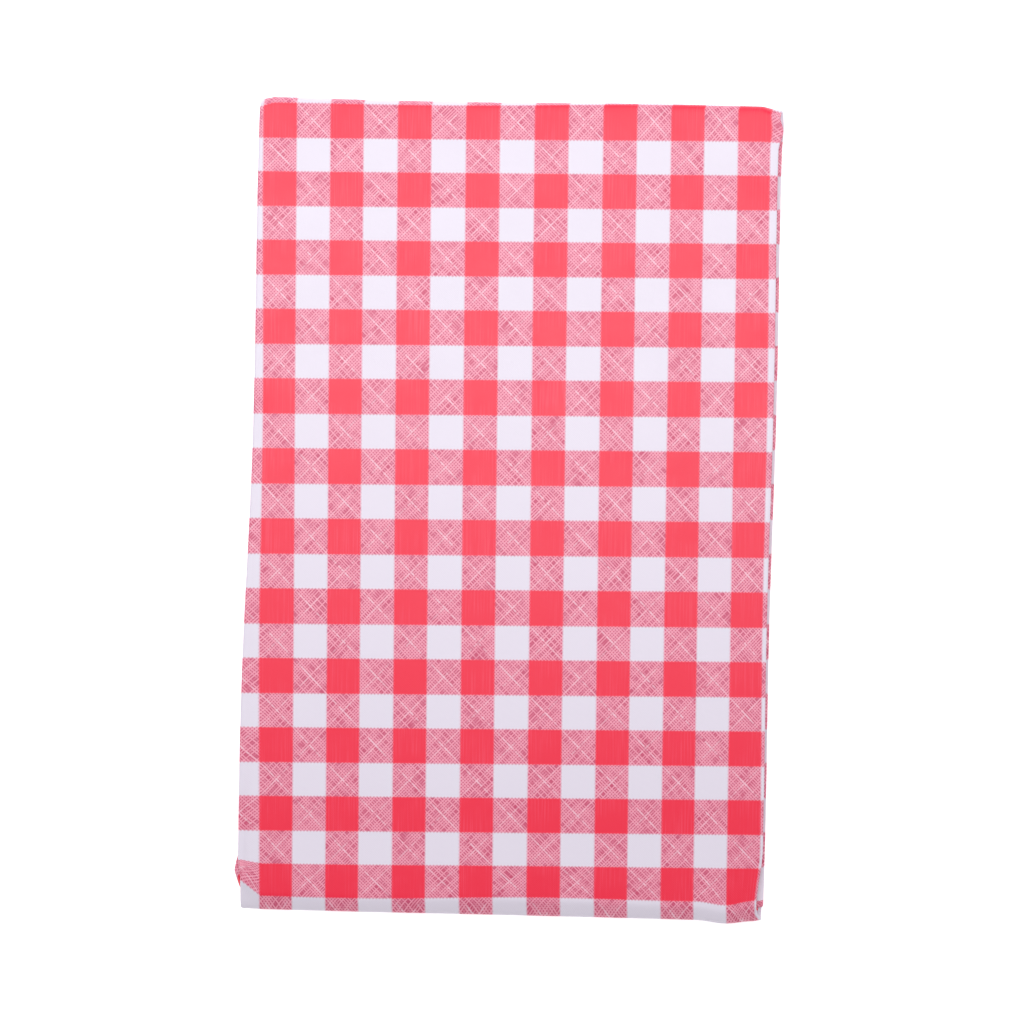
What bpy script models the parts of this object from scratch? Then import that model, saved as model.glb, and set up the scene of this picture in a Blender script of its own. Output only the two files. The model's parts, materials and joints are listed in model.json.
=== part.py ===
"""A gingham tablecloth, folded in half and half again each way, as a Blender 4.5 script.

One rectangle of cloth is folded crosswise into four columns and lengthwise into four rows, so
that sixteen layers lie on each other. The rows are four leaves, each a serpentine of four
layers, and three folds join them end to end:

    bottom_leaf -> last_fold_outer -> top_leaf -> end_fold -> upper_inner_leaf
                -> last_fold_inner -> lower_inner_leaf

The last fold made is the first to open: the top_leaf and the upper_inner_leaf swing up together
about the axis in the middle of that fold. Lengths are metres, +Z is up, and the origin is the
middle of the packet's underside.
"""

import math

import bmesh
import bpy

# Cloth, as cut and hemmed
CLOTH_WIDTH = 1.40
CLOTH_LENGTH = 2.16
CLOTH_THICKNESS = 0.0006  # one layer, with the loft of a woven cloth that isn't pressed
HEM_WIDTH = 0.012

# How it lies when folded
LAYER_GAP = 0.0003  # air between two layers
JOIN_GAP = 0.0003  # between two stretches of the cloth that are separate solids
FIRST_EDGE_INSET = 0.003  # first long edge, back from the right-hand fold line
LAST_EDGE_INSET = 0.005  # last long edge, back from the same line
BOTTOM_END_INSET = 0.004  # the bottom leaf's free end, back from the end fold's line
INNER_END_INSET = 0.006  # the lower inner leaf's free end, back from the same line

# Fineness of the rounds
LARGE_ROUND_STEPS = 12
SMALL_ROUND_STEPS = 6
HEM_EDGE_ROUND = 0.00015

# Which layer of a leaf each column is, counted from the leaf's outer face, in the order that the
# cloth passes through the columns. Column 1 is the one that shows.
COLUMN_LAYERS = (3, 0, 1, 2)
FIRST_COLUMN = 0
LAST_COLUMN = 3
ROWS = 4

LAYER_PITCH = CLOTH_THICKNESS + LAYER_GAP
COLUMN_DEPTHS = tuple((layer + 0.5) * LAYER_PITCH for layer in COLUMN_LAYERS)
COLUMNS = len(COLUMN_LAYERS)
LEAF_DEPTH = COLUMNS * LAYER_PITCH

# Crosswise: four columns and the three rounds between them make up the cloth's width
SIDE_ROUNDS = sum(
    math.pi / 2 * abs(depth - following)
    for depth, following in zip(COLUMN_DEPTHS, COLUMN_DEPTHS[1:])
)
LEAF_WIDTH = (CLOTH_WIDTH + FIRST_EDGE_INSET + LAST_EDGE_INSET - SIDE_ROUNDS) / COLUMNS

# Lengthwise: the shown column's four rows and the three folds between them make up its length
SHOWN_DEPTH = min(COLUMN_DEPTHS)
OUTER_FOLD_RADIUS = 2 * LEAF_DEPTH - SHOWN_DEPTH
END_FOLD_RADIUS = LEAF_DEPTH - SHOWN_DEPTH
INNER_FOLD_RADIUS = SHOWN_DEPTH
LENGTHWISE_ROUNDS = math.pi * (OUTER_FOLD_RADIUS + END_FOLD_RADIUS + INNER_FOLD_RADIUS)
LEAF_LENGTH = (
    CLOTH_LENGTH + BOTTOM_END_INSET + INNER_END_INSET - LENGTHWISE_ROUNDS
) / ROWS

# Places of the fold lines, with the packet centred on the origin and standing on Z = 0
LEFT_ROUND_RADIUS = (COLUMN_DEPTHS[0] - COLUMN_DEPTHS[1]) / 2
RIGHT_ROUND_RADIUS = (COLUMN_DEPTHS[2] - COLUMN_DEPTHS[1]) / 2
LEFT_FOLD_X = (LEFT_ROUND_RADIUS - RIGHT_ROUND_RADIUS - LEAF_WIDTH) / 2
RIGHT_FOLD_X = LEFT_FOLD_X + LEAF_WIDTH
LAST_FOLD_Y = (OUTER_FOLD_RADIUS - END_FOLD_RADIUS - LEAF_LENGTH) / 2
END_FOLD_Y = LAST_FOLD_Y + LEAF_LENGTH
LAST_FOLD_Z = OUTER_FOLD_RADIUS + CLOTH_THICKNESS / 2
END_FOLD_Z = LAST_FOLD_Z + LEAF_DEPTH

# Each leaf: the height that its layers are counted from, and which way they are counted
LEAF_FACES = {
    "bottom_leaf": (LAST_FOLD_Z - 2 * LEAF_DEPTH, 1),
    "lower_inner_leaf": (LAST_FOLD_Z, -1),
    "upper_inner_leaf": (LAST_FOLD_Z, 1),
    "top_leaf": (LAST_FOLD_Z + 2 * LEAF_DEPTH, -1),
}
FREE_END_INSETS = {
    "bottom_leaf": BOTTOM_END_INSET,
    "lower_inner_leaf": INNER_END_INSET,
}

# Each long edge: the column that it borders, and its place
LONG_EDGES = {
    "first_edge": (FIRST_COLUMN, RIGHT_FOLD_X - FIRST_EDGE_INSET),
    "last_edge": (LAST_COLUMN, RIGHT_FOLD_X - LAST_EDGE_INSET),
}

GINGHAM_RED = (0.93, 0.08, 0.14, 1.0)
GINGHAM_PINK = (0.85, 0.36, 0.47, 1.0)
HEM_PINK = (0.88, 0.50, 0.60, 1.0)


def clear_scene():
    """Remove whatever the scene holds."""
    for obj in list(bpy.data.objects):
        bpy.data.objects.remove(obj, do_unlink=True)


def new_collection(name):
    """A collection linked to the scene."""
    collection = bpy.data.collections.new(name)
    bpy.context.scene.collection.children.link(collection)
    return collection


def cloth_material(name, colour):
    """A matt woven cloth of one mean colour."""
    material = bpy.data.materials.new(name)
    material.use_nodes = True
    shader = material.node_tree.nodes["Principled BSDF"]
    shader.inputs["Base Color"].default_value = colour
    shader.inputs["Roughness"].default_value = 0.9
    shader.inputs["Metallic"].default_value = 0.0
    return material


def half_round(fold_x, from_depth, to_depth, side):
    """Points (x, depth) of the half circle that joins two layers at a fold line, ends included."""
    middle = (from_depth + to_depth) / 2
    radius = abs(from_depth - to_depth) / 2
    turns = [math.pi * k / SMALL_ROUND_STEPS for k in range(SMALL_ROUND_STEPS + 1)]
    return [
        (fold_x + side * radius * math.sin(a), middle + (from_depth - middle) * math.cos(a))
        for a in turns
    ]


def serpentine(margin):
    """Points (x, depth) of the cloth's crosswise path, from margin inside its first long edge to
    margin inside its last."""
    first, second, third, fourth = COLUMN_DEPTHS
    first_edge_x = LONG_EDGES["first_edge"][1]
    last_edge_x = LONG_EDGES["last_edge"][1]
    return (
        [(first_edge_x - margin, first)]
        + half_round(LEFT_FOLD_X, first, second, -1)
        + half_round(RIGHT_FOLD_X, second, third, 1)
        + half_round(LEFT_FOLD_X, third, fourth, -1)
        + [(last_edge_x - margin, fourth)]
    )


def polyline(bm, points):
    """Add a line through the points to bm, and return its vertices and its edges."""
    verts = [bm.verts.new(point) for point in points]
    edges = [bm.edges.new(pair) for pair in zip(verts, verts[1:])]
    return verts, edges


def cloth_object(bm, name, material, home, place):
    """Make the mesh in bm an object of the home's collection, with its origin at place."""
    collection, parent = home
    mesh = bpy.data.meshes.new(name)
    bm.to_mesh(mesh)
    bm.free()
    mesh.materials.append(material)
    obj = bpy.data.objects.new(name, mesh)
    collection.objects.link(obj)
    obj.parent = parent
    origin = parent.location if parent else (0.0, 0.0, 0.0)
    obj.location = [value - start for value, start in zip(place, origin)]
    return obj


def give_thickness(obj):
    """Turn an open surface into one layer of cloth, with the surface in its middle."""
    obj.data.shade_smooth()
    obj.data.set_sharp_from_angle(angle=math.radians(40))
    solid = obj.modifiers.new("cloth_thickness", "SOLIDIFY")
    solid.thickness = CLOTH_THICKNESS
    solid.offset = 0.0
    solid.use_even_offset = True


def stretch(name, leaf_name, near_y, far_y, material, home):
    """The serpentine between the side hems, carried straight from near_y to far_y in a leaf."""
    face_z, way = LEAF_FACES[leaf_name]
    path = serpentine(HEM_WIDTH + JOIN_GAP)
    bm = bmesh.new()
    edges = polyline(bm, [(x, 0.0, way * depth) for x, depth in path])[1]
    extruded = bmesh.ops.extrude_edge_only(bm, edges=edges)["geom"]
    moved = [item for item in extruded if isinstance(item, bmesh.types.BMVert)]
    bmesh.ops.translate(bm, verts=moved, vec=(0.0, far_y - near_y, 0.0))
    give_thickness(cloth_object(bm, name, material, home, (0.0, near_y, face_z)))


def side_hem(name, leaf_name, edge, near_y, far_y, material, home):
    """The hem band along a long edge of one leaf, a flat bar in the plane of its layer."""
    face_z, way = LEAF_FACES[leaf_name]
    column, edge_x = LONG_EDGES[edge]
    middle_z = face_z + way * COLUMN_DEPTHS[column]
    bm = bmesh.new()
    bmesh.ops.create_cube(bm, size=1.0)
    bmesh.ops.scale(bm, verts=bm.verts, vec=(HEM_WIDTH, far_y - near_y, CLOTH_THICKNESS))
    place = (edge_x - HEM_WIDTH / 2, (near_y + far_y) / 2, middle_z)
    rounding = cloth_object(bm, name, material, home, place).modifiers.new("turned_edge", "BEVEL")
    rounding.width = HEM_EDGE_ROUND
    rounding.segments = 1


def leaf(name, printed, hemmed, home):
    """One row of the cloth: its four layers, its side hems and, at a free end, its end hem."""
    near_y = LAST_FOLD_Y + JOIN_GAP
    if name in FREE_END_INSETS:
        end_y = END_FOLD_Y - FREE_END_INSETS[name]
        hem_y = end_y - HEM_WIDTH
        stretch(f"{name}_end_hem", name, hem_y, end_y, hemmed, home)
        stretch(name, name, near_y, hem_y - JOIN_GAP, printed, home)
    else:
        end_y = END_FOLD_Y - JOIN_GAP
        stretch(name, name, near_y, end_y, printed, home)
    for edge in LONG_EDGES:
        side_hem(f"{name}_{edge}_hem", name, edge, near_y, end_y, hemmed, home)


def fold(name, centre_radius, way, axis_y, axis_z, turn, steps, material, home):
    """The whole serpentine, hems included, carried half a turn about a line along X.

    A layer's radius is centre_radius plus way times its depth. turn is -1 where the fold bulges
    to -Y, and 1 where it bulges to +Y.
    """
    path = [(x, 0.0, -(centre_radius + way * depth)) for x, depth in serpentine(0.0)]
    bm = bmesh.new()
    verts, edges = polyline(bm, path)
    bmesh.ops.spin(
        bm,
        geom=verts + edges,
        cent=(0.0, 0.0, 0.0),
        axis=(1.0, 0.0, 0.0),
        angle=turn * math.pi,
        steps=steps,
        use_duplicate=False,
    )
    give_thickness(cloth_object(bm, name, material, home, (0.0, axis_y, axis_z)))


def last_fold(material, home):
    """The fold made last: the outer leaves' round lies over the inner leaves' round."""
    line = (LAST_FOLD_Y, LAST_FOLD_Z, -1)
    fold("last_fold_outer", 2 * LEAF_DEPTH, -1, *line, LARGE_ROUND_STEPS, material, home)
    fold("last_fold_inner", 0.0, 1, *line, SMALL_ROUND_STEPS, material, home)


def end_fold(material, home):
    """The fold at the other end, from the top leaf to the one under it."""
    line = (END_FOLD_Y, END_FOLD_Z, 1)
    fold("end_fold", LEAF_DEPTH, -1, *line, LARGE_ROUND_STEPS, material, home)


def build():
    """Build the folded cloth."""
    clear_scene()
    parts = new_collection("folded_tablecloth")
    printed = cloth_material("gingham_print", GINGHAM_RED)
    rounded = cloth_material("gingham_fold", GINGHAM_PINK)
    hemmed = cloth_material("gingham_hem", HEM_PINK)

    # The upper half turns about the last fold's axis, so its pieces hang on an empty there
    last_fold_axis = bpy.data.objects.new("last_fold_axis", None)
    last_fold_axis.location = (0.0, LAST_FOLD_Y, LAST_FOLD_Z)
    parts.objects.link(last_fold_axis)
    lower_half = (parts, None)
    upper_half = (parts, last_fold_axis)

    leaf("bottom_leaf", printed, hemmed, lower_half)
    leaf("lower_inner_leaf", printed, hemmed, lower_half)
    leaf("upper_inner_leaf", printed, hemmed, upper_half)
    leaf("top_leaf", printed, hemmed, upper_half)
    last_fold(rounded, lower_half)
    end_fold(rounded, upper_half)


build()
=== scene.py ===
"""Looks of a folded gingham tablecloth.

One sheet of printed cloth is laid into the packet's sixteen layers. Its shape is a function of two
lengths on the flat cloth: u runs across it, from its first long edge to its last, and v runs along
it, from its bottom end to its inner end. A crosswise path says where each u lies in a leaf, a
lengthwise path says where each v carries the leaf, and their product is the folded sheet. Lengths
are metres, +Z is up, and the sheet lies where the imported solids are.
"""

import json
import logging
import math
from dataclasses import dataclass, field
from enum import Enum

import bpy
import numpy as np
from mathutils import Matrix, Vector


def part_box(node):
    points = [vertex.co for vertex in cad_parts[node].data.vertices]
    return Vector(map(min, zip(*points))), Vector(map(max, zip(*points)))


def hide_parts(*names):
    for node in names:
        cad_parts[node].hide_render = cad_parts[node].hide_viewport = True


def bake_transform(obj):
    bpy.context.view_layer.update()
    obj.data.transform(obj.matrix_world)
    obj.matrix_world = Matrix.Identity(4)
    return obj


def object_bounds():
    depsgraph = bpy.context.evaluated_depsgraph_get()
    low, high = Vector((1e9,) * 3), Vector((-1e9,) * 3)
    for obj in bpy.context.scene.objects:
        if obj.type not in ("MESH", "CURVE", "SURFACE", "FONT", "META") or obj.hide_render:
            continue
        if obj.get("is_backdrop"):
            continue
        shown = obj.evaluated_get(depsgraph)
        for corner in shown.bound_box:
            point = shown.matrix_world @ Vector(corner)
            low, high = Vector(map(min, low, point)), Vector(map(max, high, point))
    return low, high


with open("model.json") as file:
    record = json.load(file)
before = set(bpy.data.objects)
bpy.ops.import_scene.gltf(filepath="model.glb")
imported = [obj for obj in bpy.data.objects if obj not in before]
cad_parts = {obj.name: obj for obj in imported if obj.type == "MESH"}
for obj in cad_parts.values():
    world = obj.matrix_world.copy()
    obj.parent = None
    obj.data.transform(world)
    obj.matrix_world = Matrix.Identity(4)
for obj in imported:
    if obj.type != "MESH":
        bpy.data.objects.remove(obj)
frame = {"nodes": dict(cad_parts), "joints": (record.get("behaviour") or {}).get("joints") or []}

LOG = logging.getLogger("folded_tablecloth")
Colour = tuple[float, float, float, float]
Point = tuple[float, float, float]


class Side(Enum):
    """The side of the packet that a fold or a free edge is on, as a sign along X."""

    LEFT = -1
    RIGHT = 1


class Leaf(Enum):
    """The four rows of the cloth, in the order that its length passes through them."""

    BOTTOM = 0
    TOP = 1
    UPPER_INNER = 2
    LOWER_INNER = 3


# ---------------------------------------------------------------------------------- sizes


@dataclass(frozen=True)
class Packet:
    """Sizes and places of the folded packet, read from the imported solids.

    The four columns lie at 3.5, 0.5, 1.5 and 2.5 pitches inside a leaf's outer face, in the order
    that the cloth's width passes through them, so that column 1 is the one that shows.
    """

    pitch: float
    left_x: float
    right_x: float
    first_edge_x: float
    last_edge_x: float
    hem: float
    last_fold_y: float
    last_fold_z: float
    end_fold_y: float
    bottom_end_y: float
    inner_end_y: float
    column_places: tuple[float, ...] = (3.5, 0.5, 1.5, 2.5)
    finished_width: float = 1.40
    finished_length: float = 2.16

    @classmethod
    def from_frame(cls) -> "Packet":
        """Read the boxes of the solids and the axis of the last fold.

        Returns:
            The packet's sizes, in metres.
        """
        low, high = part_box("top_leaf")
        whole_low, whole_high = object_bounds()
        # A leaf is three pitches and a thickness tall, and the packet is fifteen and a thickness
        pitch = ((whole_high[2] - whole_low[2]) - (high[2] - low[2])) / 12
        thickness = (high[2] - low[2]) - 3 * pitch
        axis = next(j for j in frame["joints"] if j["name"] == "last_fold")["pos_m"]
        first_low, first_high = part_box("top_leaf_first_edge_hem")
        return cls(
            pitch=pitch,
            left_x=low[0] + 1.5 * pitch + thickness / 2,
            right_x=high[0] - 0.5 * pitch - thickness / 2,
            first_edge_x=first_high[0],
            last_edge_x=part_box("top_leaf_last_edge_hem")[1][0],
            hem=first_high[0] - first_low[0],
            last_fold_y=axis[1],
            last_fold_z=axis[2],
            end_fold_y=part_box("end_fold")[1][1] - 3.5 * pitch - thickness / 2,
            bottom_end_y=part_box("bottom_leaf_end_hem")[1][1],
            inner_end_y=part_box("lower_inner_leaf_end_hem")[1][1],
        )

    @property
    def depths(self) -> tuple[float, ...]:
        """Depth of each column inside its leaf's outer face."""
        return tuple(place * self.pitch for place in self.column_places)

    @property
    def leaf_depth(self) -> float:
        """Room that a leaf's four layers take."""
        return len(self.column_places) * self.pitch

    @property
    def cut_size(self) -> tuple[float, float]:
        """Width and length of the cloth as cut, with the turnings of its hems."""
        return self.finished_width + 2 * self.hem, self.finished_length + 2 * self.hem


@dataclass(frozen=True)
class Weight:
    """How the cloth is made up: its thickness, and how far apart a hem and its cloth lie."""

    thickness: float = 0.00020
    hem_step: float = 0.00030


# ---------------------------------------------------------------------------------- paths


def gathered(steps: int, gather: float) -> np.ndarray:
    """Space points from 0 to 1, closer at both ends: the even spacing less a share of one sine.

    Args:
        steps: Number of steps.
        gather: The share, from 0 for even steps up to just below 1.

    Returns:
        The points, one more than the steps.
    """
    even = np.linspace(0.0, 1.0, steps + 1)
    return even - gather * np.sin(2 * math.pi * even) / (2 * math.pi)


@dataclass
class CrosswisePath:
    """Where each u of the cloth lies in a leaf, as (x, depth), with the way to its reverse side.

    The path is straight runs and half rounds. Its tangent turned a quarter turn from x to depth
    points to the reverse side of the cloth, all along it.
    """

    packet: Packet
    weight: Weight
    shown_steps: int = 64
    hidden_steps: int = 20
    shown_gather: float = 0.75
    hidden_gather: float = 0.88
    large_round_steps: int = 10
    small_round_steps: int = 6
    turn_steps: int = 4
    hem_steps: int = 3
    points: list[np.ndarray] = field(default_factory=list)

    def run(
        self, from_x: float, to_x: float, depth: float, steps: int, gather: float = 0.0
    ) -> None:
        """Add a straight run: x goes from one end to the other at a constant depth.

        Args:
            from_x: Where the run starts.
            to_x: Where it ends.
            depth: Its depth in the leaf.
            steps: Number of grid steps along it.
            gather: How much closer the steps lie at its ends, from 0 to 1.
        """
        x = from_x + (to_x - from_x) * gathered(steps, gather)
        self.points.append(np.stack([x, np.full_like(x, depth)], axis=1))

    def round(self, at_x: float, from_depth: float, to_depth: float, side: Side, steps: int) -> None:
        """Add a half round: a half circle about the middle of two depths, bulging to one side.

        Args:
            at_x: The fold line.
            from_depth: Depth that it starts from.
            to_depth: Depth that it ends at.
            side: Side that it bulges to.
            steps: Number of grid steps round it.
        """
        turn = np.linspace(0.0, math.pi, steps + 1)
        middle, reach = (from_depth + to_depth) / 2, (from_depth - to_depth) / 2
        x = at_x + side.value * abs(reach) * np.sin(turn)
        self.points.append(np.stack([x, middle + reach * np.cos(turn)], axis=1))

    def build(self) -> dict[str, np.ndarray]:
        """Lay out the whole path, from the first hem's raw edge to the last one's.

        Returns:
            u: Length from the first long edge, below 0 on the turned part of its hem.
            x, depth: The path.
            reverse_x, reverse_depth: Unit vector to the reverse side.
        """
        pack, step = self.packet, self.weight.hem_step
        first, shown, third, last = pack.depths
        self.run(pack.first_edge_x - pack.hem, pack.first_edge_x, first - step, self.hem_steps)
        self.round(pack.first_edge_x, first - step, first, Side.RIGHT, self.turn_steps)
        first_edge = sum(len(part) - 1 for part in self.points)
        self.run(pack.first_edge_x, pack.first_edge_x - pack.hem, first, self.hem_steps)
        hidden = (self.hidden_steps, self.hidden_gather)
        self.run(pack.first_edge_x - pack.hem, pack.left_x, first, *hidden)
        self.round(pack.left_x, first, shown, Side.LEFT, self.large_round_steps)
        self.run(pack.left_x, pack.right_x, shown, self.shown_steps, self.shown_gather)
        self.round(pack.right_x, shown, third, Side.RIGHT, self.small_round_steps)
        self.run(pack.right_x, pack.left_x, third, *hidden)
        self.round(pack.left_x, third, last, Side.LEFT, self.small_round_steps)
        self.run(pack.left_x, pack.last_edge_x - pack.hem, last, *hidden)
        self.run(pack.last_edge_x - pack.hem, pack.last_edge_x, last, self.hem_steps)
        self.round(pack.last_edge_x, last, last + step, Side.RIGHT, self.turn_steps)
        self.run(pack.last_edge_x, pack.last_edge_x - pack.hem, last + step, self.hem_steps)
        path = np.concatenate([self.points[0]] + [part[1:] for part in self.points[1:]])
        length = np.concatenate([[0.0], np.cumsum(np.linalg.norm(np.diff(path, axis=0), axis=1))])
        tangent = np.gradient(path, axis=0)
        tangent /= np.linalg.norm(tangent, axis=1, keepdims=True)
        return {
            "u": length - length[first_edge],
            "x": path[:, 0],
            "depth": path[:, 1],
            "reverse_x": -tangent[:, 1],
            "reverse_depth": tangent[:, 0],
        }


@dataclass
class LengthwisePath:
    """Where each v of the cloth carries a leaf, as a circle or a line for every depth.

    A point of depth d lies at y = y0 + (r0 + s d) a and z = z0 + (r0 + s d) b. On a straight leaf
    (a, b) is (0, 1) or (0, -1), and round a fold it goes round a half circle, so that layers keep
    their distance from each other all the way. Each line also holds its offset to the reverse side
    (where an end hem is turned), its share of the turn when the last fold opens, and how much of
    it belongs to the top leaf.
    """

    packet: Packet
    weight: Weight
    shown_steps: int = 100
    bottom_steps: int = 34
    inner_steps: int = 40
    shown_gather: float = 0.55
    hidden_gather: float = 0.85
    large_round_steps: int = 18
    end_round_steps: int = 12
    inner_round_steps: int = 8
    turn_steps: int = 4
    hem_steps: int = 3
    lines: list[np.ndarray] = field(default_factory=list)

    def add(self, steps: int, **columns: np.ndarray | float) -> None:
        """Add a stretch of lines.

        Args:
            steps: Number of grid steps along it.
            columns: y0, z0, r0, s, a, b, offset, opening and top, each one number or one a line.
        """
        names = ("y0", "z0", "r0", "s", "a", "b", "offset", "opening", "top")
        full = [np.broadcast_to(np.asarray(columns.get(n, 0.0), float), steps + 1) for n in names]
        self.lines.append(np.stack(full, axis=1))

    def leaf(
        self,
        leaf: Leaf,
        from_y: float,
        to_y: float,
        steps: int,
        offset: float = 0.0,
        gather: float = 0.0,
    ) -> None:
        """Add a straight stretch of a leaf: y goes from one end to the other.

        Args:
            leaf: The leaf.
            from_y: Where the stretch starts.
            to_y: Where it ends.
            steps: Number of grid steps along it.
            offset: How far it lies to the reverse side.
            gather: How much closer the steps lie at its ends, from 0 to 1.
        """
        outer = leaf in (Leaf.BOTTOM, Leaf.TOP)
        upper = leaf in (Leaf.TOP, Leaf.UPPER_INNER)
        self.add(
            steps,
            y0=from_y + (to_y - from_y) * gathered(steps, gather),
            z0=self.packet.last_fold_z,
            r0=2 * self.packet.leaf_depth if outer else 0.0,
            s=-1.0 if outer else 1.0,
            b=1.0 if upper else -1.0,
            offset=offset,
            opening=1.0 if upper else 0.0,
            top=1.0 if leaf is Leaf.TOP else 0.0,
        )

    def end_turn(self, leaf: Leaf, end_y: float, going: int) -> None:
        """Add the small half round of an end hem, from its turning to the cloth or back.

        Args:
            leaf: The leaf that ends there.
            end_y: The free end.
            going: 1 from the turning to the cloth, -1 from the cloth to the turning.
        """
        step = self.weight.hem_step
        turn = np.linspace(0.0, math.pi, self.turn_steps + 1)
        self.leaf(leaf, end_y, end_y, self.turn_steps)
        self.lines[-1][:, 0] = end_y + step / 2 * np.sin(turn)
        self.lines[-1][:, 6] = step / 2 * (1 + going * np.cos(turn))

    def build(self) -> dict[str, np.ndarray]:
        """Lay out the whole path, from the bottom end's raw edge to the inner end's.

        Returns:
            v, and one array for each of the columns that add takes.
        """
        pack, step = self.packet, self.weight.hem_step
        near, far = pack.last_fold_y, pack.end_fold_y
        self.leaf(Leaf.BOTTOM, pack.bottom_end_y - pack.hem, pack.bottom_end_y, self.hem_steps, step)
        self.end_turn(Leaf.BOTTOM, pack.bottom_end_y, 1)
        first_end = sum(len(part) - 1 for part in self.lines)
        self.leaf(Leaf.BOTTOM, pack.bottom_end_y, pack.bottom_end_y - pack.hem, self.hem_steps)
        hidden = self.hidden_gather
        self.leaf(
            Leaf.BOTTOM, pack.bottom_end_y - pack.hem, near, self.bottom_steps, gather=hidden
        )
        turn = np.linspace(0.0, math.pi, self.large_round_steps + 1)
        self.add(
            self.large_round_steps,
            y0=near,
            z0=pack.last_fold_z,
            r0=2 * pack.leaf_depth,
            s=-1.0,
            a=-np.sin(turn),
            b=-np.cos(turn),
            opening=turn / math.pi,
            top=turn / math.pi,
        )
        self.leaf(Leaf.TOP, near, far, self.shown_steps, gather=self.shown_gather)
        turn = np.linspace(0.0, math.pi, self.end_round_steps + 1)
        self.add(
            self.end_round_steps,
            y0=far,
            z0=pack.last_fold_z + pack.leaf_depth,
            r0=pack.leaf_depth,
            s=-1.0,
            a=np.sin(turn),
            b=np.cos(turn),
            opening=1.0,
            top=1.0 - turn / math.pi,
        )
        self.leaf(Leaf.UPPER_INNER, far, near, self.inner_steps, gather=hidden)
        turn = np.linspace(0.0, math.pi, self.inner_round_steps + 1)
        self.add(
            self.inner_round_steps,
            y0=near,
            z0=pack.last_fold_z,
            s=1.0,
            a=-np.sin(turn),
            b=np.cos(turn),
            opening=1.0 - turn / math.pi,
        )
        self.leaf(
            Leaf.LOWER_INNER, near, pack.inner_end_y - pack.hem, self.inner_steps, gather=hidden
        )
        self.leaf(Leaf.LOWER_INNER, pack.inner_end_y - pack.hem, pack.inner_end_y, self.hem_steps)
        self.end_turn(Leaf.LOWER_INNER, pack.inner_end_y, -1)
        self.leaf(
            Leaf.LOWER_INNER, pack.inner_end_y, pack.inner_end_y - pack.hem, self.hem_steps, step
        )
        lines = np.concatenate([self.lines[0]] + [part[1:] for part in self.lines[1:]])
        y0, z0, r0, s, a, b, offset, opening, top = lines.T
        radius = r0 + s * pack.depths[1]
        shown = np.stack([y0 + radius * a, z0 + radius * b + offset], axis=1)
        length = np.concatenate([[0.0], np.cumsum(np.linalg.norm(np.diff(shown, axis=0), axis=1))])
        return {
            "v": length - length[first_end],
            "y0": y0,
            "z0": z0,
            "r0": r0,
            "s": s,
            "a": a,
            "b": b,
            "offset": offset,
            "opening": opening,
            "top": top,
        }


# ---------------------------------------------------------------------------------- lie and print


def ramp(value: np.ndarray, start: float, end: float) -> np.ndarray:
    """Rise evenly from 0 at start to 1 at end, and stay there.

    Args:
        value: Where to work it out.
        start: Where it leaves 0.
        end: Where it reaches 1.

    Returns:
        The ramp, as value is shaped.
    """
    return np.clip((value - start) / (end - start), 0.0, 1.0)


def ease(value: np.ndarray, start: float, end: float) -> np.ndarray:
    """Rise smoothly from 0 at start to 1 at end: three times the ramp squared less twice its cube.

    Args:
        value: Where to work it out.
        start: Where it leaves 0.
        end: Where it reaches 1.

    Returns:
        The eased ramp, as value is shaped.
    """
    even = ramp(value, start, end)
    return even * even * (3.0 - 2.0 * even)


def hump(value: np.ndarray, middle: float, half_width: float) -> np.ndarray:
    """Rise to 1 at the middle and fall back to 0 a half width either side: a raised cosine.

    Args:
        value: Where to work it out.
        middle: Where the top is.
        half_width: Distance from the top to either foot.

    Returns:
        The hump, as value is shaped.
    """
    reach = np.clip((value - middle) / half_width, -1.0, 1.0)
    return 0.5 + 0.5 * np.cos(math.pi * reach)


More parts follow.
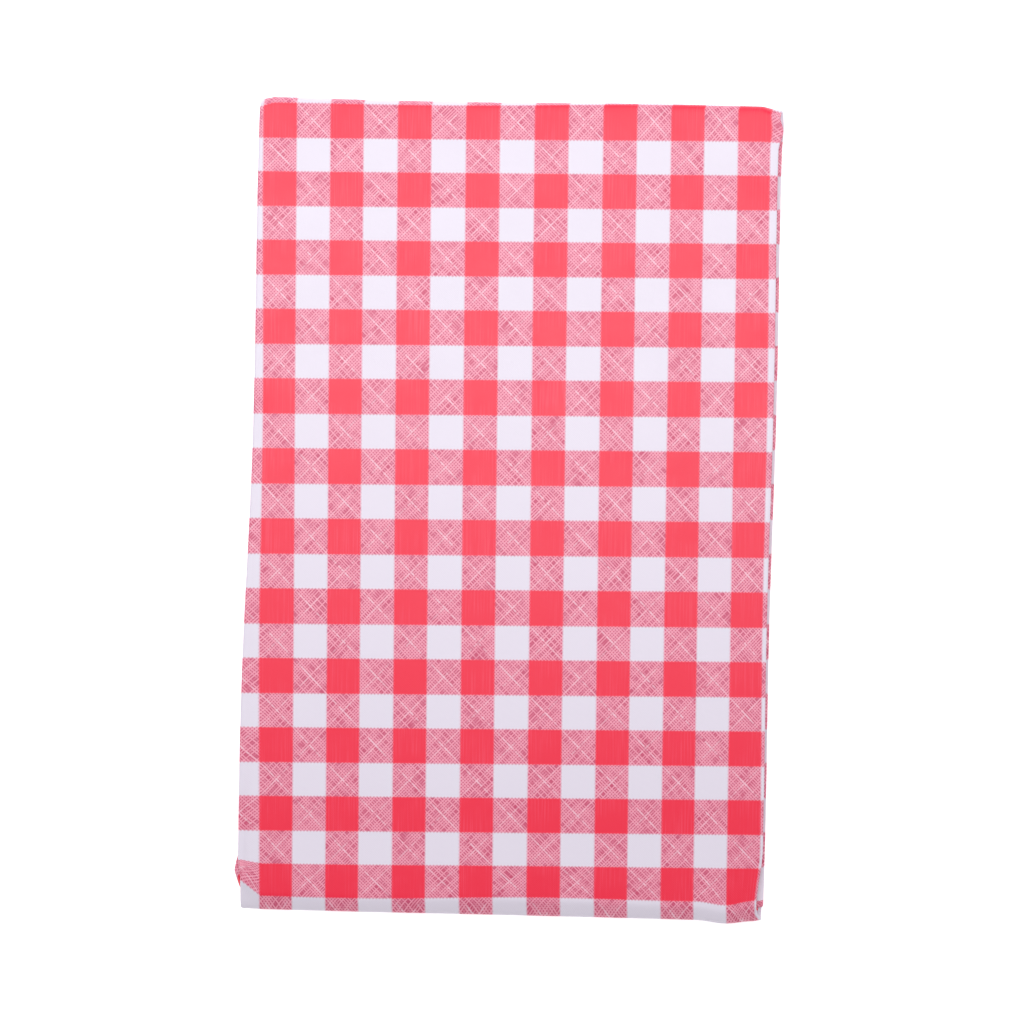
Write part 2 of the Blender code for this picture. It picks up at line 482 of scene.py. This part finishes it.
@dataclass(frozen=True)
class Lie:
    """How a hand-folded packet lies: its leaves' small turns, and its uneven corners and top.

    Each step moves points by a smooth function of where they are, so the layers keep their order
    along the leaves. In the tightest rounds, at the corners, some neighbouring faces still cross.
    """

    packet: Packet
    top_slide: float = -0.0013
    top_draw: float = 0.0050
    lower_turn: float = 0.0020
    lower_slide: float = 0.0003
    bow: float = 0.0036
    hollow: float = 0.0012
    crease: float = 0.0011
    near_left_draw: float = 0.0100
    near_left_spread: float = 0.0030
    near_right_curl: float = 0.0034
    near_right_bulge: float = 0.0026
    near_waist: float = 0.0034
    far_skew: float = 0.0070
    far_right_blunt: float = 0.0052
    far_right_ear: float = 0.0030
    far_left_blunt: float = 0.0034

    def turn_leaves(self, x: np.ndarray, y: np.ndarray, top: np.ndarray) -> np.ndarray:
        """Slide the top leaf in x, and turn those below it: x moves in proportion to y.

        Args:
            x: Place across the packet.
            y: Place along it.
            top: Share of each point that belongs to the top leaf.

        Returns:
            The new x. The top leaf is also drawn in a little towards its middle.
        """
        upper = (1.0 - self.top_draw) * x + self.top_slide
        lower = x + self.lower_slide + self.lower_turn * y
        # The left edge bows out towards the last fold, in every leaf
        from_corner = ease(y, self.packet.last_fold_y - 0.004, self.packet.last_fold_y + 0.020)
        bow = self.bow * hump(y, -0.190, 0.230) * (0.4 + 0.6 * from_corner)
        upper -= bow * ease(-x, 0.160, 0.1755)
        lower -= bow * ease(-x, 0.080, 0.1760)
        return top * upper + (1.0 - top) * lower

    def shape_corners(
        self, x: np.ndarray, y: np.ndarray, z: np.ndarray
    ) -> tuple[np.ndarray, np.ndarray]:
        """Draw the corners in or out: each move is a ramp in x times a ramp in y times one in z.

        Args:
            x: Place across the packet.
            y: Place along it.
            z: Height.

        Returns:
            The new x and y.
        """
        near, far = self.packet.last_fold_y, self.packet.end_fold_y
        upper, lower = ease(z, 0.0060, 0.0125), 1.0 - ease(z, 0.0090, 0.0120)
        near_end, far_end = 1.0 - ease(y - near, 0.0, 0.030), ease(y - far, -0.025, 0.0)
        # The last fold's inner layers keep their place
        outside = ease(np.hypot(y - near, z - self.packet.last_fold_z), 0.0036, 0.0062)
        # The near left corner is drawn back along a slant, over the layers below it
        move_y = self.near_left_draw * ramp(-x, 0.1635, 0.1770) * near_end * upper
        spread = hump(y, near + 0.0165, 0.0115) * ease(-x, 0.160, 0.176) * lower
        move_x = -self.near_left_spread * spread
        # At the near right corner the top leaf curls in, and its fold bulges beside the curl
        curl = 1.0 - ease(y - near, -0.002, 0.040)
        curl = ease(x, 0.150, 0.176) * curl * ease(z, 0.0080, 0.0120)
        move_x -= self.near_right_curl * curl
        bulge = hump(x, 0.150, 0.020) * near_end * outside * ease(z, 0.0040, 0.0100)
        move_y -= self.near_right_bulge * bulge
        move_y += 0.0014 * ease(x, 0.168, 0.178) * near_end
        # The far edge is a little askew. Its corners are blunt, and the right one has a small ear
        move_y += self.far_skew * np.clip(x + 0.12, 0.0, 0.30) * far_end
        move_y -= self.far_right_blunt * ramp(x, 0.1630, 0.1770) * far_end * upper
        ear = hump(y, far - 0.010, 0.014) * ease(x, 0.164, 0.175) * upper
        move_x += self.far_right_ear * ear
        move_y -= self.far_left_blunt * ramp(-x, 0.1670, 0.1775) * far_end * upper
        # Each fold starts to bend a little before its line, and bulges at its middle height
        waist = outside * hump(z, self.packet.last_fold_z, 1.1 * self.packet.last_fold_z)
        move_y += 0.0018 * near_end * ease(z, 0.0080, 0.0130) - self.near_waist * near_end * waist
        move_y += 0.0012 * far_end - 0.0014 * far_end * ease(z, 0.0090, 0.0130)
        # Fold lines wander
        move_y += 0.0008 * np.sin(x / 0.036 + 1.0) * near_end * upper
        move_y += 0.0007 * np.sin(x / 0.043 - 0.6) * far_end * upper
        move_x += 0.0005 * np.sin(y / 0.047) * ease(np.abs(x), 0.150, 0.176)
        return x + move_x, y + move_y

    def settle(self, x: np.ndarray, y: np.ndarray, z: np.ndarray) -> np.ndarray:
        """Lower the packet's top unevenly: z less a field of x and y times a power of the height.

        Args:
            x: Place across the packet.
            y: Place along it.
            z: Height.

        Returns:
            The new z, nowhere higher than before. The field is least along the folds, where the
            cloth is fullest.
        """
        near, far = self.packet.last_fold_y, self.packet.end_fold_y
        inside = np.minimum(ramp(0.176 - np.abs(x), 0.0, 0.045), ramp(y - near, 0.0, 0.05))
        inside = np.minimum(inside, ramp(far - y, 0.0, 0.05))
        waves = np.sin(x / 0.052 + 0.8) * np.sin(y / 0.071 + 0.4) + 0.5 * np.sin(x / 0.09 - y / 0.06)
        field_depth = self.hollow * (0.45 + 0.35 * inside * inside * (3 - 2 * inside) + 0.13 * waves)
        # A pinched crease runs just inside the left edge, up from the last fold
        along_crease = ease(y, near + 0.006, near + 0.020) * (1.0 - ease(y, near + 0.055, near + 0.080))
        field_depth += self.crease * along_crease * hump(x, self.packet.left_x + 0.0012, 0.0036)
        height = 2 * self.packet.last_fold_z
        return z - field_depth * np.clip(z / height, 0.0, 1.0) ** 1.5

    def apply(
        self, x: np.ndarray, y: np.ndarray, z: np.ndarray, top: np.ndarray
    ) -> tuple[np.ndarray, np.ndarray, np.ndarray]:
        """Move the points of the ideal packet to where they lie.

        Args:
            x: Place across the packet.
            y: Place along it.
            z: Height.
            top: Share of each point that belongs to the top leaf.

        Returns:
            The new x, y and z.
        """
        height = self.settle(x, y, z)
        across, along = self.shape_corners(self.turn_leaves(x, y, top), y, z)
        return across, along, height


@dataclass(frozen=True)
class CheckLayout:
    """Where the checks fall on the cloth, as a column and a row that are whole on red stripes.

    Both are linear in the cloth's lengths, with a slow wave: the cloth isn't quite square to its
    checks, and it has given a little under the iron.
    """

    packet: Packet
    columns_per_metre: float = 22.028
    rows_per_metre: float = 21.508
    column_at_middle: float = 3.4544
    row_at_middle: float = 5.5675
    column_slant: float = 0.3029
    row_slant: float = 0.3302
    twist: float = 0.7618
    column_wave: float = 0.0232
    row_wave: float = 0.0344

    def place(
        self, u: np.ndarray, v: np.ndarray, u_left: float, v_near: float
    ) -> tuple[np.ndarray, np.ndarray]:
        """Work out the column and row of points on the cloth.

        Args:
            u: Length across the cloth.
            v: Length along it.
            u_left: The u at the top leaf's left fold line.
            v_near: The v at the top leaf's near fold line.

        Returns:
            Column and row. On the top leaf they are linear in x and y, plus a product of two slow
            sines for the twist and one slow sine each for the waves.
        """
        x = u - u_left + self.packet.left_x
        y = v - v_near + self.packet.last_fold_y
        column = self.column_at_middle + self.columns_per_metre * x + self.column_slant * y
        column -= self.twist * 0.3 * np.sin(x / 0.3) * 0.35 * np.sin(y / 0.35)
        column -= self.column_wave * np.sin(2 * math.pi * x / 0.38)
        row = self.row_at_middle + self.row_slant * x - self.rows_per_metre * y
        row += self.row_wave * np.sin(2 * math.pi * y / 0.6)
        return column, row


# ---------------------------------------------------------------------------------- finishes


@dataclass
class NodeTree:
    """A short way to write a node tree: each method adds one node and returns its output."""

    tree: bpy.types.NodeTree

    def node(self, kind: str, **settings: object) -> bpy.types.Node:
        """Add a node and set its properties."""
        made = self.tree.nodes.new(kind)
        for name, value in settings.items():
            setattr(made, name, value)
        return made

    def put(self, socket: bpy.types.NodeSocket, value: object) -> None:
        """Link an output to a socket, or set the socket to a plain value."""
        if isinstance(value, bpy.types.NodeSocket):
            self.tree.links.new(value, socket)
        else:
            socket.default_value = value

    def math(self, operation: str, *values: object) -> bpy.types.NodeSocket:
        """Add a Math node."""
        made = self.node("ShaderNodeMath", operation=operation)
        for socket, value in zip(made.inputs, values):
            self.put(socket, value)
        return made.outputs[0]

    def step(self, value: object, start: float, end: float) -> bpy.types.NodeSocket:
        """Map a value smoothly to 0 at start and 1 at end, which may be the lower of the two."""
        made = self.node("ShaderNodeMapRange", interpolation_type="SMOOTHSTEP")
        for name, given in zip(("Value", "From Min", "From Max"), (value, start, end)):
            self.put(made.inputs[name], given)
        return made.outputs[0]

    def mix(self, share: object, first: object, second: object) -> bpy.types.NodeSocket:
        """Mix two colours."""
        made = self.node("ShaderNodeMix", data_type="RGBA", clamp_factor=True)
        for index, value in ((0, share), (6, first), (7, second)):
            self.put(made.inputs[index], value)
        return made.outputs[2]

    def blend_values(self, share: object, first: object, second: object) -> bpy.types.NodeSocket:
        """Mix two plain values."""
        made = self.node("ShaderNodeMix", data_type="FLOAT", clamp_factor=True)
        for index, value in ((0, share), (2, first), (3, second)):
            self.put(made.inputs[index], value)
        return made.outputs[0]

    def vector(self, *values: object) -> bpy.types.NodeSocket:
        """Join values to a vector."""
        made = self.node("ShaderNodeCombineXYZ")
        for socket, value in zip(made.inputs, values):
            self.put(socket, value)
        return made.outputs[0]

    def noise(self, place: object, scale: float, detail: float) -> bpy.types.NodeSocket:
        """Add flat noise, about 0 to 1 with its middle at a half."""
        made = self.node("ShaderNodeTexNoise", noise_dimensions="2D")
        self.put(made.inputs["Vector"], place)
        self.put(made.inputs["Scale"], scale)
        self.put(made.inputs["Detail"], detail)
        return made.outputs[0]


def new_group(
    name: str, inputs: dict[str, str], outputs: dict[str, str]
) -> tuple[bpy.types.NodeTree, NodeTree, bpy.types.Node, bpy.types.Node]:
    """Make an empty shader node group.

    Args:
        name: Its name.
        inputs: Socket type of each input.
        outputs: Socket type of each output.

    Returns:
        The group, a NodeTree on it, its input node and its output node.
    """
    group = bpy.data.node_groups.new(name, "ShaderNodeTree")
    for socket, kind in inputs.items():
        group.interface.new_socket(socket, in_out="INPUT", socket_type=kind)
    for socket, kind in outputs.items():
        group.interface.new_socket(socket, in_out="OUTPUT", socket_type=kind)
    made = NodeTree(group)
    return group, made, made.node("NodeGroupInput"), made.node("NodeGroupOutput")


@dataclass(frozen=True)
class CheckCloth:
    """A red and white gingham: its colours, and the fine pattern of its half-tone checks.

    Where a red stripe crosses a white one the cloth shows a lattice of pale threads on the slant,
    with a bolder pair through the middle of the check. Lengths are in checks' pitches.
    """

    red: Colour = (0.92, 0.009, 0.052, 1.0)
    red_streak: Colour = (0.94, 0.036, 0.092, 1.0)
    white: Colour = (0.800, 0.738, 0.853, 1.0)
    thread: Colour = (0.90, 0.350, 0.470, 1.0)
    gap: Colour = (0.62, 0.065, 0.160, 1.0)
    bold_thread: Colour = (0.94, 0.600, 0.705, 1.0)
    stitch: Colour = (0.86, 0.700, 0.760, 1.0)
    stripe_across: float = 0.497
    stripe_along: float = 0.506
    threads: float = 20.0
    edge: float = 0.010
    saw: float = 0.6

    def checks_group(self) -> bpy.types.NodeTree:
        """Make the group that colours the cloth from its column and row.

        Returns:
            A group from Checks, a column and a row, to Color and Thread, a height.
        """
        group, n, given, made = new_group(
            "gingham_checks",
            {"Checks": "NodeSocketVector"},
            {"Color": "NodeSocketColor", "Thread": "NodeSocketFloat"},
        )
        parts = n.node("ShaderNodeSeparateXYZ")
        n.put(parts.inputs[0], given.outputs["Checks"])
        column, row = parts.outputs[0], parts.outputs[1]
        down = n.math("ADD", column, row)
        up = n.math("SUBTRACT", column, row)
        down_count = n.math("MULTIPLY", down, self.threads)
        up_count = n.math("MULTIPLY", up, self.threads)
        # Stripe edges follow the slanting threads in small teeth
        down_cell = n.math("ADD", n.math("FLOOR", down_count), 0.5)
        up_cell = n.math("ADD", n.math("FLOOR", up_count), 0.5)
        cell_column = n.math("DIVIDE", n.math("ADD", down_cell, up_cell), 2 * self.threads)
        cell_row = n.math("DIVIDE", n.math("SUBTRACT", down_cell, up_cell), 2 * self.threads)
        along = self.stripe(n, n.blend_values(self.saw, column, cell_column), self.stripe_across)
        across = self.stripe(n, n.blend_values(self.saw, row, cell_row), self.stripe_along)
        both = n.math("MULTIPLY", along, across)
        either = n.math("MAXIMUM", along, across)
        # Slanting threads, each of its own weight along its length
        first = self.slant(n, down_count, up_count, 0.0)
        second = self.slant(n, up_count, down_count, 7.3)
        pale = n.math("MAXIMUM", first, second)
        bold_up = self.bold(n, down, up, 0.55)
        bold_down = self.bold(n, up, down, 0.8)
        bold = n.math("MAXIMUM", bold_up, bold_down)
        half = n.mix(bold, n.mix(pale, self.gap, self.thread), self.bold_thread)
        warp = n.vector(n.math("MULTIPLY", column, 42.0), n.math("MULTIPLY", row, 0.9), 0.0)
        streak = n.noise(warp, 1.0, 2.0)
        soft = n.noise(n.vector(column, row, 0.0), 1.7, 2.0)
        streaks = n.math("MULTIPLY", n.step(streak, 0.42, 0.72), n.step(soft, 0.30, 0.70))
        red = n.mix(streaks, self.red, self.red_streak)
        n.put(made.inputs["Color"], n.mix(both, n.mix(either, self.white, half), red))
        n.put(made.inputs["Thread"], n.math("MULTIPLY", n.math("SUBTRACT", either, both), pale))
        return group

    def stripe(self, n: NodeTree, place: object, share: float) -> bpy.types.NodeSocket:
        """Mask a red stripe: 1 where the place is nearer a whole number than half the share."""
        away = n.math("ABSOLUTE", n.math("SUBTRACT", place, n.math("ROUND", place)))
        return n.step(away, share / 2 + self.edge, share / 2 - self.edge)

    def slant(
        self, n: NodeTree, count: object, length: object, seed: float
    ) -> bpy.types.NodeSocket:
        """Mask the pale threads of one slant: lines at whole counts, of uneven strength.

        Args:
            n: The tree to add to.
            count: Number of threads passed.
            length: The same for the other slant, which is a place along a thread.
            seed: Sets the two slants' noise apart.

        Returns:
            The mask.
        """
        away = n.math("ABSOLUTE", n.math("SUBTRACT", count, n.math("ROUND", count)))
        line = n.step(away, 0.34, 0.16)
        along = n.math("MULTIPLY_ADD", length, 0.11, seed)
        strength = n.noise(n.vector(n.math("ROUND", count), along, 0.0), 0.83, 1.0)
        return n.math("MULTIPLY", line, n.step(strength, 0.22, 0.58))

    def bold(
        self, n: NodeTree, place: object, length: object, strength: float
    ) -> bpy.types.NodeSocket:
        """Mask the bolder thread that crosses each check's middle, and fades to its corners."""
        away = n.math("ABSOLUTE", n.math("SUBTRACT", n.math("FRACT", place), 0.5))
        line = n.math("MULTIPLY", n.step(away, 0.024, 0.008), strength)
        out = n.math("ABSOLUTE", n.math("SUBTRACT", n.math("FRACT", length), 0.5))
        fade = n.math("MULTIPLY_ADD", n.step(out, 0.5, 0.05), 0.6, 0.4)
        uneven = n.noise(n.vector(n.math("MULTIPLY", length, 9.0), n.math("FLOOR", place), 0.0), 1.3, 1.0)
        return n.math("MULTIPLY", n.math("MULTIPLY", line, fade), n.step(uneven, 0.25, 0.60))


@dataclass(frozen=True)
class Threads:
    """The plain weave of the cloth, and the stitching of its hems. Lengths are metres."""

    spacing: float = 0.00075
    stitch_inset: float = 0.0100
    stitch_length: float = 0.0032
    stitch_width: float = 0.0008

    def weave_group(self) -> bpy.types.NodeTree:
        """Make the group for the height of the weave.

        Returns:
            A group from Cloth, the lengths u and v, to Height: the product of a sine of each
            length, so that neighbouring crossings are over and under, and a little fine noise.
        """
        group, n, given, made = new_group(
            "plain_weave", {"Cloth": "NodeSocketVector"}, {"Height": "NodeSocketFloat"}
        )
        parts = n.node("ShaderNodeSeparateXYZ")
        n.put(parts.inputs[0], given.outputs["Cloth"])
        turn = 2 * math.pi / (2 * self.spacing)
        across = n.math("SINE", n.math("MULTIPLY", parts.outputs[0], turn))
        along = n.math("SINE", n.math("MULTIPLY", parts.outputs[1], turn))
        rough = n.noise(given.outputs["Cloth"], 420.0, 2.0)
        n.put(made.inputs["Height"], n.math("MULTIPLY_ADD", across, along, rough))
        return group

    def stitch_group(self, width: float, length: float) -> bpy.types.NodeTree:
        """Make the group that marks the hem stitches.

        Args:
            width: The cloth's finished width.
            length: Its finished length.

        Returns:
            A group from Cloth, the lengths u and v, to Stitch, a mask: dashes where the nearer
            edge is one inset away, with u's dashes along v and v's along u.
        """
        group, n, given, made = new_group(
            "hem_stitch", {"Cloth": "NodeSocketVector"}, {"Stitch": "NodeSocketFloat"}
        )
        parts = n.node("ShaderNodeSeparateXYZ")
        n.put(parts.inputs[0], given.outputs["Cloth"])
        u, v = parts.outputs[0], parts.outputs[1]
        masks = []
        for place, other, size in ((u, v, width), (v, u, length)):
            nearer = n.math("MINIMUM", place, n.math("SUBTRACT", size, place))
            away = n.math("ABSOLUTE", n.math("SUBTRACT", nearer, self.stitch_inset))
            line = n.step(away, 0.6 * self.stitch_width, 0.4 * self.stitch_width)
            dash = n.math("PINGPONG", other, self.stitch_length / 2)
            gap = n.step(dash, 0.0001, 0.0004)
            masks.append(n.math("MULTIPLY", line, gap))
        n.put(made.inputs["Stitch"], n.math("MAXIMUM", *masks))
        return group


@dataclass
class ClothFinish:
    """The materials of the cloth's two sides, which share the checks, weave and stitch groups."""

    cloth: CheckCloth
    threads: Threads
    width: float
    length: float
    groups: dict[str, bpy.types.NodeTree] = field(default_factory=dict)

    def build_groups(self) -> None:
        """Make each shared group once."""
        self.groups["checks"] = self.cloth.checks_group()
        self.groups["weave"] = self.threads.weave_group()
        self.groups["stitch"] = self.threads.stitch_group(self.width, self.length)

    def material(self, name: str, paler: float, roughness: float) -> bpy.types.Material:
        """Make the material of one side.

        Args:
            name: Its name.
            paler: How far its colours are taken towards white, from 0 to 1.
            roughness: Its mean roughness.

        Returns:
            The material.
        """
        made = bpy.data.materials.new(name)
        made.use_nodes = True
        made.node_tree.nodes.clear()
        n = NodeTree(made.node_tree)
        shader = n.node("ShaderNodeBsdfPrincipled")
        output = n.node("ShaderNodeOutputMaterial")
        n.put(output.inputs["Surface"], shader.outputs[0])
        checks = n.node("ShaderNodeUVMap", uv_map="checks")
        lengths = n.node("ShaderNodeUVMap", uv_map="cloth")
        colours = n.node("ShaderNodeGroup", node_tree=self.groups["checks"])
        weave = n.node("ShaderNodeGroup", node_tree=self.groups["weave"])
        stitch = n.node("ShaderNodeGroup", node_tree=self.groups["stitch"])
        n.put(colours.inputs["Checks"], checks.outputs[0])
        n.put(weave.inputs["Cloth"], lengths.outputs[0])
        n.put(stitch.inputs["Cloth"], lengths.outputs[0])
        colour = n.mix(paler, colours.outputs["Color"], self.cloth.white)
        n.put(shader.inputs["Base Color"], n.mix(stitch.outputs["Stitch"], colour, self.cloth.stitch))
        height = n.math("MULTIPLY_ADD", colours.outputs["Thread"], 0.6, weave.outputs["Height"])
        height = n.math("MULTIPLY_ADD", stitch.outputs["Stitch"], 2.5, height)
        bump = n.node("ShaderNodeBump")
        bump.inputs["Strength"].default_value = 0.22
        bump.inputs["Distance"].default_value = 0.00012
        n.put(bump.inputs["Height"], height)
        n.put(shader.inputs["Normal"], bump.outputs[0])
        fuzz = n.noise(lengths.outputs[0], 38.0, 3.0)
        n.put(shader.inputs["Roughness"], n.math("MULTIPLY_ADD", fuzz, 0.12, roughness - 0.06))
        shader.inputs["Specular IOR Level"].default_value = 0.55
        shader.inputs["Sheen Weight"].default_value = 0.02
        shader.inputs["Sheen Roughness"].default_value = 0.5
        return made


# ---------------------------------------------------------------------------------- tablecloth


@dataclass
class FoldedTablecloth:
    """The tablecloth, folded in four along its length and in four across, as one sheet."""

    packet: Packet
    weight: Weight
    lie: Lie
    layout: CheckLayout
    finish: ClothFinish
    name: str = "tablecloth"
    piece: bpy.types.Object | None = None

    def points(self, across: dict[str, np.ndarray], along: dict[str, np.ndarray]) -> np.ndarray:
        """Work out every grid point: the lengthwise circles and lines at the crosswise depths.

        Args:
            across: The crosswise path.
            along: The lengthwise path.

        Returns:
            Points by u, by v, by x, y and z: y = y0 + (r0 + s depth) a and z = z0 + (r0 + s depth) b.
        """
        offset = along["offset"][None, :]
        x = across["x"][:, None] + offset * across["reverse_x"][:, None]
        depth = across["depth"][:, None] + offset * across["reverse_depth"][:, None]
        radius = along["r0"][None, :] + along["s"][None, :] * depth
        y = along["y0"][None, :] + radius * along["a"][None, :]
        z = along["z0"][None, :] + radius * along["b"][None, :]
        top = np.broadcast_to(along["top"][None, :], x.shape)
        return np.stack(self.lie.apply(x, y, z, top), axis=2)

    def cells(self, across: dict[str, np.ndarray], along: dict[str, np.ndarray]) -> np.ndarray:
        """List the grid's cells, as four corner indices each, facing the right side of the cloth.

        Args:
            across: The crosswise path.
            along: The lengthwise path.

        Returns:
            The cells. A corner of the cloth has no second turning: the cells where a side hem's
            turning meets an end hem's are left out.
        """
        columns, rows = len(across["u"]), len(along["v"])
        index = np.arange(columns * rows).reshape(columns, rows)
        corners = (index[:-1, :-1], index[1:, :-1], index[1:, 1:], index[:-1, 1:])
        quads = np.stack([part.ravel() for part in corners], axis=1)
        u = (across["u"][:-1] + across["u"][1:]) / 2
        v = (along["v"][:-1] + along["v"][1:]) / 2
        width, length, hem = self.finish.width, self.finish.length, self.packet.hem
        near_side = (u < hem) | (u > width - hem)
        on_turning = (v < 0) | (v > length)
        return quads[~(near_side[:, None] & on_turning[None, :]).ravel()]

    def build(self) -> None:
        """Lay the grid out, put it in a mesh, and give the mesh its maps and thickness."""
        across = CrosswisePath(self.packet, self.weight).build()
        along = LengthwisePath(self.packet, self.weight).build()
        LOG.info("cloth across %.3f m, along %.3f m", across["u"].max(), along["v"].max())
        points = self.points(across, along).reshape(-1, 3)
        quads = self.cells(across, along)
        used, renumbered = np.unique(quads, return_inverse=True)
        quads = renumbered.reshape(quads.shape)
        mesh = bpy.data.meshes.new(self.name)
        mesh.from_pydata(points[used].tolist(), [], quads.tolist())
        mesh.polygons.foreach_set("use_smooth", np.ones(len(quads), bool))
        self.piece = bpy.data.objects.new(self.name, mesh)
        bpy.context.scene.collection.objects.link(self.piece)
        u, v = (part.ravel()[used] for part in np.meshgrid(across["u"], along["v"], indexing="ij"))
        # The top leaf's fold lines are where its straight part starts, whichever way it turns
        u_left = self.length_at_left_fold(across)
        v_near = self.length_at_near_fold(along)
        column, row = self.layout.place(u, v, u_left, v_near)
        self.add_map("checks", column, row, quads)
        self.add_map("cloth", u, v, quads)
        self.bend()
        shell = self.piece.modifiers.new("thickness", "SOLIDIFY")
        shell.thickness = self.weight.thickness
        shell.offset = 0.0
        shell.material_offset = 1
        mesh.validate()

    def length_at_left_fold(self, across: dict[str, np.ndarray]) -> float:
        """Find the u where the shown column's straight part starts."""
        at_fold = np.isclose(across["x"], self.packet.left_x)
        shown = np.isclose(across["depth"], self.packet.depths[1]) & at_fold
        return float(across["u"][shown][0])

    def length_at_near_fold(self, along: dict[str, np.ndarray]) -> float:
        """Find the v where the top leaf's straight part starts."""
        shown = np.isclose(along["top"], 1.0) & np.isclose(along["y0"], self.packet.last_fold_y)
        return float(along["v"][shown][0])

    def add_map(self, name: str, first: np.ndarray, second: np.ndarray, quads: np.ndarray) -> None:
        """Add a UV map that holds two values of each point."""
        layer = self.piece.data.uv_layers.new(name=name)
        values = np.stack([first, second], axis=1)[quads.ravel()]
        layer.uv.foreach_set("vector", values.astype(np.float32).ravel())

    def bend(self) -> None:
        """Bake the cloth object's transform into its mesh."""
        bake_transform(self.piece)

    def dress(self) -> None:
        self.finish.build_groups()
        self.piece.data.materials.append(self.finish.material("gingham_right_side", 0.0, 0.40))
        self.piece.data.materials.append(self.finish.material("gingham_reverse", 0.10, 0.60))
        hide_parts(*sorted(frame["nodes"]))


# ---------------------------------------------------------------------------------- studio


@dataclass(frozen=True)
class Studio:
    """A plain white floor, soft light from above and behind, and a camera straight overhead."""

    top_height: float
    view_width: float = 0.68966
    lens: float = 85.0
    sensor: float = 36.0
    centre: tuple[float, float] = (-0.0001, -0.00287)
    turn: float = math.radians(1.4)
    floor_half: float = 6.0

    def build_floor(self) -> None:
        """Lay the floor: a square, bright enough by itself to show as plain white paper."""
        half = self.floor_half
        mesh = bpy.data.meshes.new("floor")
        corners = [(-half, -half, 0.0), (half, -half, 0.0), (half, half, 0.0), (-half, half, 0.0)]
        mesh.from_pydata(corners, [], [(0, 1, 2, 3)])
        floor = bpy.data.objects.new("floor", mesh)
        bpy.context.scene.collection.objects.link(floor)
        paper = bpy.data.materials.new("white_paper")
        paper.use_nodes = True
        shader = paper.node_tree.nodes["Principled BSDF"]
        shader.inputs["Base Color"].default_value = (0.93, 0.93, 0.93, 1.0)
        shader.inputs["Roughness"].default_value = 0.9
        shader.inputs["Specular IOR Level"].default_value = 0.1
        shader.inputs["Emission Color"].default_value = (1.0, 1.0, 1.0, 1.0)
        shader.inputs["Emission Strength"].default_value = 0.62
        mesh.materials.append(paper)
        floor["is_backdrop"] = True

    def add_light(
        self, name: str, place: Point, target: Point, size: tuple[float, float], power: float
    ) -> None:
        """Add a rectangular soft light that faces a target.

        Args:
            name: Its name.
            place: Where it hangs.
            target: What it faces.
            size: Its width along X and its depth.
            power: Its power in watts.
        """
        light = bpy.data.lights.new(name, "AREA")
        light.shape = "RECTANGLE"
        light.size, light.size_y = size
        light.energy = power
        lamp = bpy.data.objects.new(name, light)
        lamp.location = place
        lamp.rotation_euler = (Vector(target) - Vector(place)).to_track_quat("-Z", "Y").to_euler()
        bpy.context.scene.collection.objects.link(lamp)

    def build_lights(self) -> None:
        """Light the cloth from a long panel overhead, one behind it, and a white sky all round."""
        self.add_light("overhead_panel", (-0.15, 0.30, 1.75), (-0.15, 0.30, 0.0), (2.2, 0.36), 20.0)
        self.add_light("back_panel", (-0.1, 1.20, 0.95), (0.0, 0.15, 0.0), (1.2, 0.9), 6.0)
        world = bpy.data.worlds.new("white_sky")
        world.use_nodes = True
        world.node_tree.nodes["Background"].inputs["Color"].default_value = (1.0, 1.0, 1.0, 1.0)
        world.node_tree.nodes["Background"].inputs["Strength"].default_value = 0.37
        bpy.context.scene.world = world

    def build_camera(self) -> None:
        """Hang the camera straight above the packet, turned a little."""
        data = bpy.data.cameras.new("camera")
        data.lens = self.lens
        data.sensor_width = self.sensor
        camera = bpy.data.objects.new("camera", data)
        height = self.top_height + self.view_width * self.lens / self.sensor
        camera.location = (*self.centre, height)
        camera.rotation_euler = (0.0, 0.0, self.turn)
        bpy.context.scene.collection.objects.link(camera)
        bpy.context.scene.camera = camera


def main() -> None:
    """Build the tablecloth and the studio, and report each piece."""
    logging.basicConfig(level=logging.INFO, format="%(name)s: %(message)s")
    solids = [list(corner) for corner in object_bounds()]
    for name in ("Cube", "Light", "Camera"):
        if name in bpy.data.objects:
            bpy.data.objects.remove(bpy.data.objects[name])
    packet = Packet.from_frame()
    weight = Weight()
    finish = ClothFinish(
        CheckCloth(), Threads(), packet.finished_width, packet.finished_length
    )
    cloth = FoldedTablecloth(packet, weight, Lie(packet), CheckLayout(packet), finish)
    cloth.build()
    LOG.info("%s: %d cells", cloth.name, len(cloth.piece.data.polygons))
    cloth.dress()
    LOG.info("%s: dressed on both sides", cloth.name)
    studio = Studio(top_height=solids[1][2])
    studio.build_floor()
    studio.build_lights()
    studio.build_camera()
    LOG.info("studio: floor, lights and camera")
    bpy.context.scene.view_settings.view_transform = "Standard"


if __name__ == "__main__":
    main()
